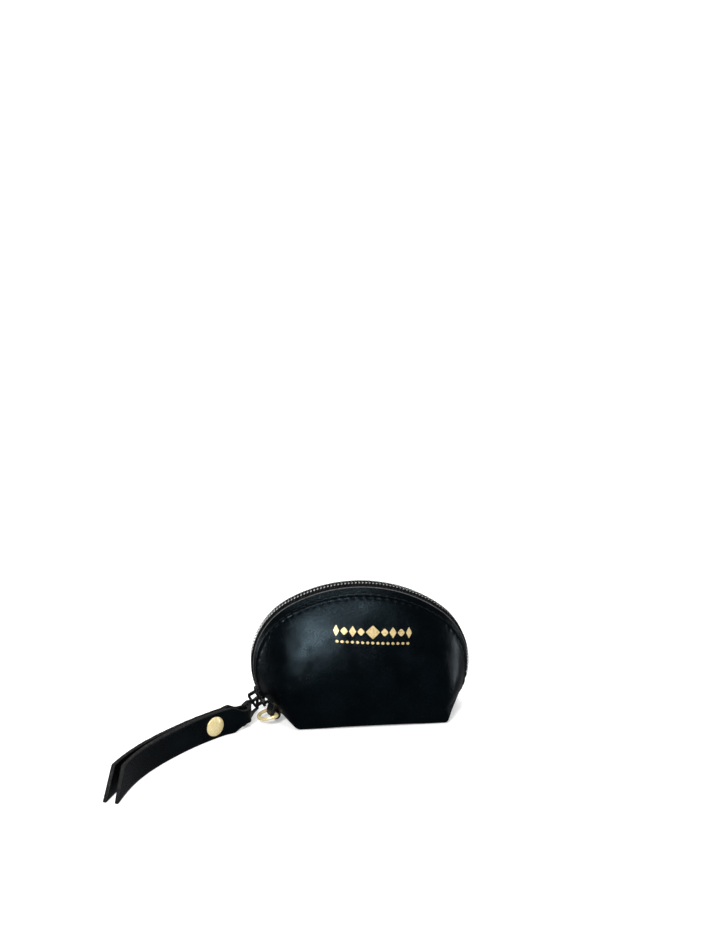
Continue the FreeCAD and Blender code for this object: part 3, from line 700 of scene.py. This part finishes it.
def build_base():
    """The flat leather bottom with a softened edge all round, and the lining that lies on it."""
    columns, rows = 49, 33
    _, _, flat = station(0.0, 0.0, 0.0)
    half_x = flat + 2.5
    half_y = HALF_DEPTH - 1.6
    across = np.linspace(-1, 1, columns)
    along = np.linspace(-1, 1, rows)
    grid_x, grid_y = np.meshgrid(across, along)
    power = 8.0
    round_off = (np.abs(grid_x) ** power + np.abs(grid_y) ** power) ** (1 / power)
    stretch = np.maximum(np.abs(grid_x), np.abs(grid_y)) / np.maximum(round_off, 1e-9)
    x, y = grid_x * half_x * stretch, grid_y * half_y * stretch
    rim = np.clip((np.maximum(np.abs(grid_x), np.abs(grid_y)) - 0.93) / 0.07, 0, 1)
    bottom = np.stack([x, y, 0.04 + 0.5 * rim ** 2], axis=-1)
    top = np.stack([x, y, BASE_THICK - 0.3 * rim ** 2], axis=-1)
    made = Builder()
    made.grid(bottom)
    made.grid(top)
    border = [(0, c) for c in range(columns)] + [(r, columns - 1) for r in range(1, rows)]
    border += [(rows - 1, c) for c in range(columns - 2, -1, -1)] + [(r, 0) for r in range(rows - 2, 0, -1)]
    ring = np.array([[bottom[i] for i in border], [top[i] for i in border]])
    made.grid(ring, 1, wrap_columns=True)
    piece = outward(made.make("purse_base", [LEATHER, EDGE]))
    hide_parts("base_panel")
    cloth = Builder()
    low_z, high_z = 1.38, 1.72
    inset = 0.94
    ripple = noise_field(top, 9.0, 12.0) * 0.12
    floor_top = np.stack([x * inset, y * inset, high_z + ripple], axis=-1)
    floor_low = np.stack([x * inset, y * inset, np.full_like(x, low_z)], axis=-1)
    cloth.grid(floor_top)
    cloth.grid(floor_low)
    edge = np.array([[floor_low[i] for i in border], [floor_top[i] for i in border]])
    cloth.grid(edge, wrap_columns=True)
    lining = outward(cloth.make("purse_base_lining", [LINING]))
    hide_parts("base_lining")
    return piece, lining


# ------------------------------------------------------------------ zip

COIL_PITCH = 1.6
COIL_WIRE = 0.40
TURN_POINTS = 16
HEAD_HALF_LONG = 0.32
HEAD_INSET = 0.02
HEAD_OUT = np.array([1.85, 1.25, 0.65])
HEAD_RADII = np.array([0.18, 0.32, 0.18])


def along_arch(shares, inset, y):
    x, z = arch(shares, inset)
    return np.stack([x, np.broadcast_to(y, x.shape), z], axis=-1)


def build_coil(name, node, sign, shift, gloss_and_head_glint):
    """One side of the zip: a flattened coil with slanted tooth heads, its filler cords and its sewing. The
    heads take the third material; on the front coil it is pale, a painted highlight standing for glints on
    the teeth.
    """
    length = sum(arch_spans(LEFT_DROP, RIGHT_DROP))
    turns = int(length / COIL_PITCH) - 1
    angle = np.linspace(0, 2 * math.pi * turns, turns * TURN_POINTS)
    distance = (angle / (2 * math.pi) + 0.5 + shift) * COIL_PITCH
    half_width = (COIL_WIDTH - 0.1) / 2 - COIL_WIRE
    half_height = COIL_THICK / 2 - COIL_WIRE
    flatten = 0.6
    swing = np.sign(np.cos(angle)) * np.abs(np.cos(angle)) ** flatten
    lift = np.sign(np.sin(angle)) * np.abs(np.sin(angle)) ** flatten
    inset = COIL_THICK / 2 - half_height * lift
    across = sign * ((COIL_WIDTH + 0.1) / 2 + half_width * swing)
    path = along_arch(distance / length, inset, across)
    made = Builder()
    closed_tube(made, path, COIL_WIRE, 7, up=(0.31, 0.17, 0.93))
    for number in range(turns):
        middle = (number + 0.75 + shift) * COIL_PITCH
        places = (middle + np.array([-HEAD_HALF_LONG, 0.0, HEAD_HALF_LONG])) / length
        head = along_arch(places, HEAD_INSET, sign * HEAD_OUT)
        # tooth heads: pale on the front coil as painted highlight glints, plain nylon on the back coil
        closed_tube(made, head, HEAD_RADII, 6, pick=2, up=(0.3, 0.17, 0.93))
    shares = np.linspace(0.004, 0.996, 260)
    for y, drop, radius in ((1.45, 1.2, 0.62), (2.15, 1.25, 0.5)):
        closed_tube(made, along_arch(shares, drop, sign * y), radius, 8, pick=1, up=(0.0, 1.0, 0.0))
    steps = np.linspace(0.004, 0.996, 900)
    wave = 0.10 * np.cos(2 * math.pi * (steps * length / COIL_PITCH - 0.25 - shift))
    x, z = arch(steps, 0.02 - wave)
    sewing = np.stack([x, np.full_like(x, sign * 2.25), z], axis=-1)
    closed_tube(made, sewing, 0.15, 6, pick=1, up=(0.0, 1.0, 0.0))
    piece = outward(made.make(name, [NYLON, THREAD, gloss_and_head_glint]))
    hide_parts(node)
    return piece


def build_tape(name, node, sign):
    """Woven tape that runs under the coil and in beneath the leather."""
    shares = np.linspace(0.0, 1.0, 260)
    spots = [(0.30, 2.62), (1.5, 2.60), (3.0, 2.60), (3.6, 2.62), (3.95, 2.72), (4.3, 3.00), (4.9, 3.75)]
    upper = np.array([along_arch(shares, inset, sign * y) for y, inset in spots])
    lower = np.array([along_arch(shares, inset + 0.38, sign * y) for y, inset in spots])
    ruffle = 0.05 * noise_field(upper, 2.5, 3.0)
    upper[..., 2] += ruffle
    made = Builder()
    made.grid(upper)
    made.grid(lower)
    made.grid(np.array([upper[0], lower[0]]))
    made.grid(np.array([upper[-1], lower[-1]]))
    made.grid(np.array([upper[:, 0], lower[:, 0]]))
    made.grid(np.array([upper[:, -1], lower[:, -1]]))
    piece = outward(made.make(name, [TAPE]))
    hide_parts(node)
    return piece


# ------------------------------------------------------------------ strap

# where the middle of the strap runs on the floor, from the pull's bar to the tips
STRAP_ROUTE = [
    (0, 0), (-9.5, -6.8), (-20.0, -15.0), (-30.5, -25.2), (-40.5, -37.0), (-49.0, -50.8), (-55.0, -66.0),
]
STRAP_THICK = 1.7
STRAP_WIDE = 12.7
STRAP_WAIST = 6.6
FOLD_HALF_GAP = 1.9
RIVET_HALF_GAP = 0.05
TIP_HALF_GAP = 1.7
FOLD_TO_RIVET = 17.2
STRAP_SLANT = 10.2
STRAP_GROUND_GAP = 0.2
FOLD_STRAIGHT = 2.0
SLANT_FROM = 45.0
TIP_REACH = 1.2


def natural_spline(knots, values, where):
    """Natural cubic spline through the values at the knots."""
    count = len(knots)
    gaps = np.diff(knots)
    system = np.eye(count)
    target = np.zeros((count, values.shape[1]))
    for i in range(1, count - 1):
        system[i, i - 1] = gaps[i - 1]
        system[i, i] = 2 * (gaps[i - 1] + gaps[i])
        system[i, i + 1] = gaps[i]
        rise = (values[i + 1] - values[i]) / gaps[i] - (values[i] - values[i - 1]) / gaps[i - 1]
        target[i] = 6 * rise
    second = np.linalg.solve(system, target)
    place = np.clip(np.searchsorted(knots, where, side="right") - 1, 0, count - 2)
    gap = gaps[place][:, None]
    u = (where - knots[place])[:, None]
    v = gap - u
    first = (second[place] * v ** 3 + second[place + 1] * u ** 3) / (6 * gap)
    lower = (values[place] / gap - second[place] * gap / 6) * v
    upper = (values[place + 1] / gap - second[place + 1] * gap / 6) * u
    return first + lower + upper


class StrapLine:
    """The line midway between the two plies, by distance from the pull's bar."""

    def __init__(self, bar):
        knots = np.array([(bar[0] + x, bar[1] + y) for x, y in STRAP_ROUTE], float)
        chords = np.concatenate([[0], np.cumsum(np.linalg.norm(np.diff(knots, axis=0), axis=1))])
        self.points = natural_spline(chords, knots, np.linspace(0, chords[-1], 400))
        steps = np.linalg.norm(np.diff(self.points, axis=0), axis=1)
        self.distances = np.concatenate([[0], np.cumsum(steps)])
        self.total = self.distances[-1]
        self.along = unit(np.gradient(self.points, axis=0))

    def at(self, distance):
        distance = np.asarray(distance, float)
        beyond = np.maximum(distance - self.total, 0)
        spot = np.stack([np.interp(distance, self.distances, self.points[:, i]) for i in (0, 1)], axis=-1)
        along = np.stack([np.interp(distance, self.distances, self.along[:, i]) for i in (0, 1)], axis=-1)
        along = unit(along)
        spot = spot + along * beyond[..., None]
        return spot, along, np.stack([-along[..., 1], along[..., 0]], axis=-1)


def half_gap(distance, total):
    """Half of the gap between the plies: open at the fold, closed at the rivet, parted at the tips."""
    share = np.clip((distance - FOLD_STRAIGHT) / (FOLD_TO_RIVET - 3 * FOLD_STRAIGHT), 0, 1)
    near = RIVET_HALF_GAP + (FOLD_HALF_GAP - RIVET_HALF_GAP) * 0.5 * (1 + np.cos(math.pi * share))
    far_share = np.clip((distance - FOLD_TO_RIVET) / (total - FOLD_TO_RIVET), 0, 1.1)
    far = RIVET_HALF_GAP + (TIP_HALF_GAP - RIVET_HALF_GAP) * far_share ** 2
    return np.where(distance < FOLD_TO_RIVET, near, far)


def smooth_step(value, low, high):
    share = np.clip((value - low) / (high - low), 0, 1)
    return share * share * (3 - 2 * share)


def ply_section():
    """Section of one ply: pairs of (offset through the thickness, share of the height)."""
    half = STRAP_THICK / 2
    face = np.linspace(0.035, 0.965, 12)
    top = [(0.80 * half, 0.992), (0.4 * half, 1.0), (-0.4 * half, 1.0), (-0.80 * half, 0.992)]
    bottom = [(-0.80 * half, 0.008), (-0.4 * half, 0.0), (0.4 * half, 0.0), (0.80 * half, 0.008)]
    section = [(half, v) for v in face] + top + [(-half, v) for v in face[::-1]] + bottom
    faces = ["skin"] * 11 + ["edge"] * 5 + ["skin"] * 11 + ["edge"] * 5
    return np.array(section), faces


def build_strap(bar):
    """One long strip folded round the pull's bar: front ply, fold, back ply."""
    line = StrapLine(bar)
    straight = np.append(np.arange(0, line.total, 1.0), line.total)
    bend = np.linspace(0, 1, 13)[1:-1]
    stops = [("front", d) for d in straight[::-1]]
    stops += [("fold", share) for share in bend]
    stops += [("back", d) for d in straight]
    section, kinds = ply_section()
    offsets, heights = section[:, 0], section[:, 1]
    block = []
    for where, amount in stops:
        if where == "fold":
            spot, along, across = line.at(0.0)
            turn = math.pi * amount
            direction = across * math.cos(turn) - along * math.sin(turn)
            reach = FOLD_HALF_GAP + STRAP_THICK / 2 + offsets
            flat = spot[None, :] + direction[None, :] * reach[:, None]
            low = np.full_like(heights, (STRAP_WIDE - STRAP_WAIST) / 2)
        else:
            side = 1.0 if where == "front" else -1.0
            tail = np.clip((amount - SLANT_FROM) / (line.total - SLANT_FROM), 0, 1)
            distance = amount + tail * (TIP_REACH - STRAP_SLANT * heights)
            spot, along, across = line.at(distance)
            reach = half_gap(distance, line.total) + STRAP_THICK / 2 + offsets
            flat = spot + across * (side * reach)[:, None]
            low = (STRAP_WIDE - STRAP_WAIST) / 2 * (1 - smooth_step(distance, 1.0, 8.0))
        z = low + heights * (STRAP_WIDE - 2 * low)
        block.append(np.stack([flat[:, 0], flat[:, 1], z], axis=-1))
    block = np.array(block)
    rough = noise_field(block, 1.1, 5.0)
    rim = np.where(np.abs(heights - 0.5) > 0.47, 0.10, 0.015)
    block = block + (rough * rim[None, :])[..., None] * np.array([0.4, 0.4, 1.0])
    block[..., 2] = np.clip(block[..., 2], STRAP_GROUND_GAP, STRAP_WIDE)
    made = Builder()
    made.grid(block, wrap_columns=True)
    rows, columns, _ = block.shape
    for index in range(rows - 1):
        for c, kind in enumerate(kinds):
            made.picks[index * columns + c] = 1 if kind == "edge" else 0
    made.fan(block[0], block[0].mean(axis=0), 1)
    made.fan(block[-1], block[-1].mean(axis=0), 1)
    piece = outward(made.make("strap_leather", [STRAP_LEATHER, EDGE]))
    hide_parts("pull_strap")
    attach(piece, "strap")
    return piece


# ------------------------------------------------------------------ ring tab

RING_PLACE = np.array([-44.9, -12.4, 4.8])
RING_BOW = (-0.93, -0.31, -0.19)
RING_TILT = math.radians(5.0)
TAB_RISE = (0.12, 0.25, 1.0)
RING_WIRE = 0.85
TAB_CLEAR = 0.3
TAB_THICK = 1.1
TAB_WIDE = 7.2
TAB_LONG = 7.0
TAB_PINCH = 0.62


def build_tab():
    """A leather loop over the ring's bar; both ends rise and go in behind the side seam."""
    bow = Vector(RING_BOW).normalized()
    level = Vector((0, 0, 1)).cross(bow).normalized()
    upper = bow.cross(level)
    axes = Matrix((bow, level, upper)).transposed() @ Matrix.Rotation(RING_TILT, 3, "X")
    bar = axes.col[1]
    rise = Vector(TAB_RISE)
    rise = (rise - bar * rise.dot(bar)).normalized()
    side = bar.cross(rise).normalized()
    bar, rise, side = np.array(bar), np.array(rise), np.array(side)
    radius = RING_WIRE + TAB_CLEAR + TAB_THICK / 2
    path = []
    for u in np.linspace(1, 0, 10)[:-1]:
        path.append((radius * (1 - TAB_PINCH * smooth_step(u, 0.15, 1.0)), TAB_LONG * u))
    for turn in np.linspace(0, math.pi, 15):
        path.append((radius * math.cos(turn), -radius * math.sin(turn)))
    for u in np.linspace(0, 1, 10)[1:]:
        path.append((-radius * (1 - TAB_PINCH * smooth_step(u, 0.15, 1.0)), TAB_LONG * u))
    path = np.array(path)
    step = unit(np.gradient(path, axis=0))
    outside = np.stack([-step[:, 1], step[:, 0]], axis=-1)
    widths = np.concatenate([[-0.5, -0.485], np.linspace(-0.45, 0.45, 9), [0.485, 0.5]]) * TAB_WIDE
    half = TAB_THICK / 2
    section = [(w, half * (1 if abs(w) < TAB_WIDE * 0.49 else 0.55)) for w in widths]
    section += [(w, -h) for w, h in section[::-1]]
    block = []
    for (a, b), (na, nb) in zip(path, outside):
        ring = []
        for width, height in section:
            ring.append(RING_PLACE + side * (a + na * height) + rise * (b + nb * height) + bar * width)
        block.append(ring)
    block = np.array(block)
    made = Builder()
    made.grid(block, wrap_columns=True)
    rows, columns, _ = block.shape
    for index in range(rows - 1):
        for c in (0, 11, 12, 13, 24, 25):
            made.picks[index * columns + c] = 1
    made.fan(block[0], block[0].mean(axis=0), 1)
    made.fan(block[-1], block[-1].mean(axis=0), 1)
    piece = outward(made.make("ring_tab_leather", [LEATHER, EDGE]))
    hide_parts("d_ring_tab")
    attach(piece, "purse")
    return piece


# ------------------------------------------------------------------ stamped ornament

ORNAMENT_X = 0.5
ORNAMENT_Z = 43.6
ORNAMENT_TURN = math.radians(-4.5)
ORNAMENT_PROUD = 0.05


def leaf(centre, half_long, half_tall, pinch):
    """A pointed shape; pinch above 1 draws its sides in."""
    shape = []
    for angle in np.linspace(0, 2 * math.pi, 32, endpoint=False):
        c, s = math.cos(angle), math.sin(angle)
        shape.append((
            centre[0] + half_long * math.copysign(abs(c) ** pinch, c),
            centre[1] + half_tall * math.copysign(abs(s) ** pinch, s),
        ))
    return shape


def ornament_shapes():
    """A large pointed shape with smaller ones on both sides, over a row of dots."""
    shapes = [leaf((0, 0), 3.2, 2.7, 1.9)]
    for sign in (-1, 1):
        shapes.append(leaf((sign * 5.4, 0), 1.6, 1.5, 1.6))
        shapes.append(leaf((sign * 9.2, 0), 1.6, 2.2, 1.9))
        shapes.append(leaf((sign * 13.0, 0), 1.6, 1.5, 1.6))
        shapes.append(leaf((sign * 16.6, 0), 1.3, 2.2, 1.9))
    for step in range(-7, 8):
        shapes.append(leaf((step * 2.3, -4.3), 0.75, 0.58, 1.3))
    return shapes


def build_ornament(skin):
    """Small plain divider in foil, laid on the front panel."""
    rows, columns, _ = skin.shape
    surface = BVHTree.FromPolygons([tuple(p) for p in skin.reshape(-1, 3)], grid_faces(rows, columns))

    def lay(x, z):
        hit, normal, _, _ = surface.ray_cast(Vector((x, -80.0, z)), Vector((0, 1, 0)))
        if normal.y > 0:
            normal = -normal
        return np.array(hit + normal * ORNAMENT_PROUD)

    def placed(point):
        a, b = point
        across = a * math.cos(ORNAMENT_TURN) - b * math.sin(ORNAMENT_TURN)
        return ORNAMENT_X + across, ORNAMENT_Z + a * math.sin(ORNAMENT_TURN) + b * math.cos(ORNAMENT_TURN)

    made = Builder()
    for shape in ornament_shapes():
        centre = np.mean(shape, axis=0)
        rings = []
        for share in (1.0, 0.66, 0.33):
            points = [centre + (np.array(p) - centre) * share for p in shape]
            rings.append([lay(*placed(p)) for p in points])
        rings = np.array(rings)
        made.grid(rings, wrap_columns=True)
        made.fan(rings[-1], lay(*placed(centre)))
    piece = outward(made.make("front_ornament", [FOIL]))
    return piece


# ------------------------------------------------------------------ carried-over metal

def finish_metal():
    finishes = {
        "slider_body": BLACK_METAL, "slider_bridge": BLACK_METAL, "pull_tab": BLACK_METAL,
        "rivet_cap": GOLD_METAL, "rivet_back": GOLD_METAL, "d_ring": GOLD_METAL,
    }
    for node, material in finishes.items():
        piece = frame["nodes"][node]
        for index in range(max(1, len(piece.material_slots))):
            if not piece.material_slots:
                piece.data.materials.append(material)
            piece.material_slots[index].material = material


# ------------------------------------------------------------------ assembly

def build_purse():
    front, front_skin = build_panel("front_leather", "front_panel", False, 2.0)
    back, back_skin = build_panel("back_leather", "back_panel", True, 40.0)
    ornament = build_ornament(front_skin)
    front_pieces = [
        front, ornament,
        build_lining("front_lining_cloth", "front_lining", False),
        build_topstitch("front_stitches", "front_topstitch", front_skin, False),
        # the front coil's tooth heads are painted pale as highlight glints
        build_coil("front_zip_coil", "front_coil", -1.0, 0.0, PAINTED_GLINT_NYLON),
        build_tape("front_tape", "front_zip_tape", -1.0),
    ]
    base, base_lining = build_base()
    purse_pieces = [
        back, base, base_lining,
        build_lining("back_lining_cloth", "back_lining", True),
        build_topstitch("back_stitches", "back_topstitch", back_skin, True),
        build_coil("back_zip_coil", "back_coil", 1.0, 0.5, NYLON),
        build_tape("back_tape", "back_zip_tape", 1.0),
        build_gusset("left_gusset_leather", "left_gusset", True),
        build_gusset("right_gusset_leather", "right_gusset", False),
    ]
    for piece in front_pieces:
        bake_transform(piece)
    for piece in purse_pieces:
        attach(piece, "purse")


def pull_bar():
    """Middle of the pull's lower bar: the point that the strap's joint turns about."""
    for joint in frame["joints"]:
        if joint["name"] == "strap_swing":
            return np.array(joint["pos_m"][:2]) / MM
    raise RuntimeError("the record has no strap joint")


def build_floor():
    """A pale sheet that rises smoothly behind the purse."""
    turn = np.linspace(0.1, math.pi / 2, 12)
    depths = np.concatenate([np.linspace(-900, 500, 8), 500 + 500 * np.sin(turn)])
    heights = np.concatenate([np.zeros(8), 500 - 500 * np.cos(turn)])
    across = np.linspace(-1500, 1500, 7)
    rows = [[(x, y, z - 0.05) for x in across] for y, z in zip(depths, heights)]
    rows.append([(x, 1000, 1600) for x in across])
    made = Builder()
    made.grid(np.array(rows, float))
    floor = made.make("floor_sheet", [FLOOR])
    floor.visible_glossy = False
    return floor


def soft_light(name, place, target, width, height, power):
    light = bpy.data.lights.new(name, "AREA")
    light.shape = "RECTANGLE"
    light.size, light.size_y = width, height
    light.energy = power
    lamp = bpy.data.objects.new(name, light)
    lamp.location = place
    direction = Vector(target) - Vector(place)
    lamp.rotation_euler = direction.to_track_quat("-Z", "Y").to_euler()
    bpy.context.scene.collection.objects.link(lamp)


SKY_STRENGTH = 0.20
SEEN_SKY_STRENGTH = 1.0


def build_sky():
    """A dim sky that looks white where it shows past the edges of the floor sheet."""
    world = bpy.data.worlds.new("studio")
    world.use_nodes = True
    tree = world.node_tree
    sky = tree.nodes["Background"]
    sky.inputs["Color"].default_value = (0.93, 0.95, 1.0, 1.0)
    path = tree.nodes.new("ShaderNodeLightPath")
    strength = tree.nodes.new("ShaderNodeMath")
    strength.operation = "MULTIPLY_ADD"
    tree.links.new(path.outputs["Is Camera Ray"], strength.inputs[0])
    strength.inputs[1].default_value = SEEN_SKY_STRENGTH - SKY_STRENGTH
    strength.inputs[2].default_value = SKY_STRENGTH
    tree.links.new(strength.outputs[0], sky.inputs["Strength"])
    bpy.context.scene.world = world


def build_lights():
    soft_light("key_light", (-0.26, -0.62, 0.51), (-0.028, -0.016, 0.041), 0.20, 0.20, 6.0)
    soft_light("brow_light", (0.10, -0.50, 0.68), (-0.004, -0.009, 0.055), 0.20, 0.07, 1.3)
    soft_light("top_light", (0.0, 0.25, 0.95), (0, 0, 0.03), 0.50, 0.50, 5.0)
    soft_light("right_card", (0.76, 0.03, 0.06), (0, 0, 0.03), 0.10, 0.30, 1.2)
    soft_light("left_card", (-0.72, 0.24, 0.10), (0, 0, 0.02), 0.20, 0.20, 1.2)
    soft_light("backdrop_light", (0, 0.25, 0.75), (0, 1.0, 0.75), 1.6, 0.9, 16.0)


CAMERA_AZIMUTH = math.radians(-6.5)
CAMERA_ELEVATION = math.radians(21.5)
CAMERA_DISTANCE = 0.600
CAMERA_TARGET = (0.0, 0.0, 0.030)


def build_camera():
    camera = bpy.data.cameras.new("camera")
    camera.sensor_width = 36.0
    camera.lens = 49.7
    camera.shift_x = -0.0083
    camera.shift_y = 0.1925
    camera.clip_start, camera.clip_end = 0.01, 20.0
    rig = bpy.data.objects.new("camera", camera)
    back = Vector((
        math.sin(CAMERA_AZIMUTH) * math.cos(CAMERA_ELEVATION),
        -math.cos(CAMERA_AZIMUTH) * math.cos(CAMERA_ELEVATION),
        math.sin(CAMERA_ELEVATION),
    ))
    rig.location = Vector(CAMERA_TARGET) + back * CAMERA_DISTANCE
    rig.rotation_euler = (-back).to_track_quat("-Z", "Y").to_euler()
    bpy.context.scene.collection.objects.link(rig)
    bpy.context.scene.camera = rig


build_camera()
build_purse()
build_strap(pull_bar())
build_tab()
finish_metal()
build_floor()
build_lights()
build_sky()
bpy.context.scene.view_settings.view_transform = "Standard"
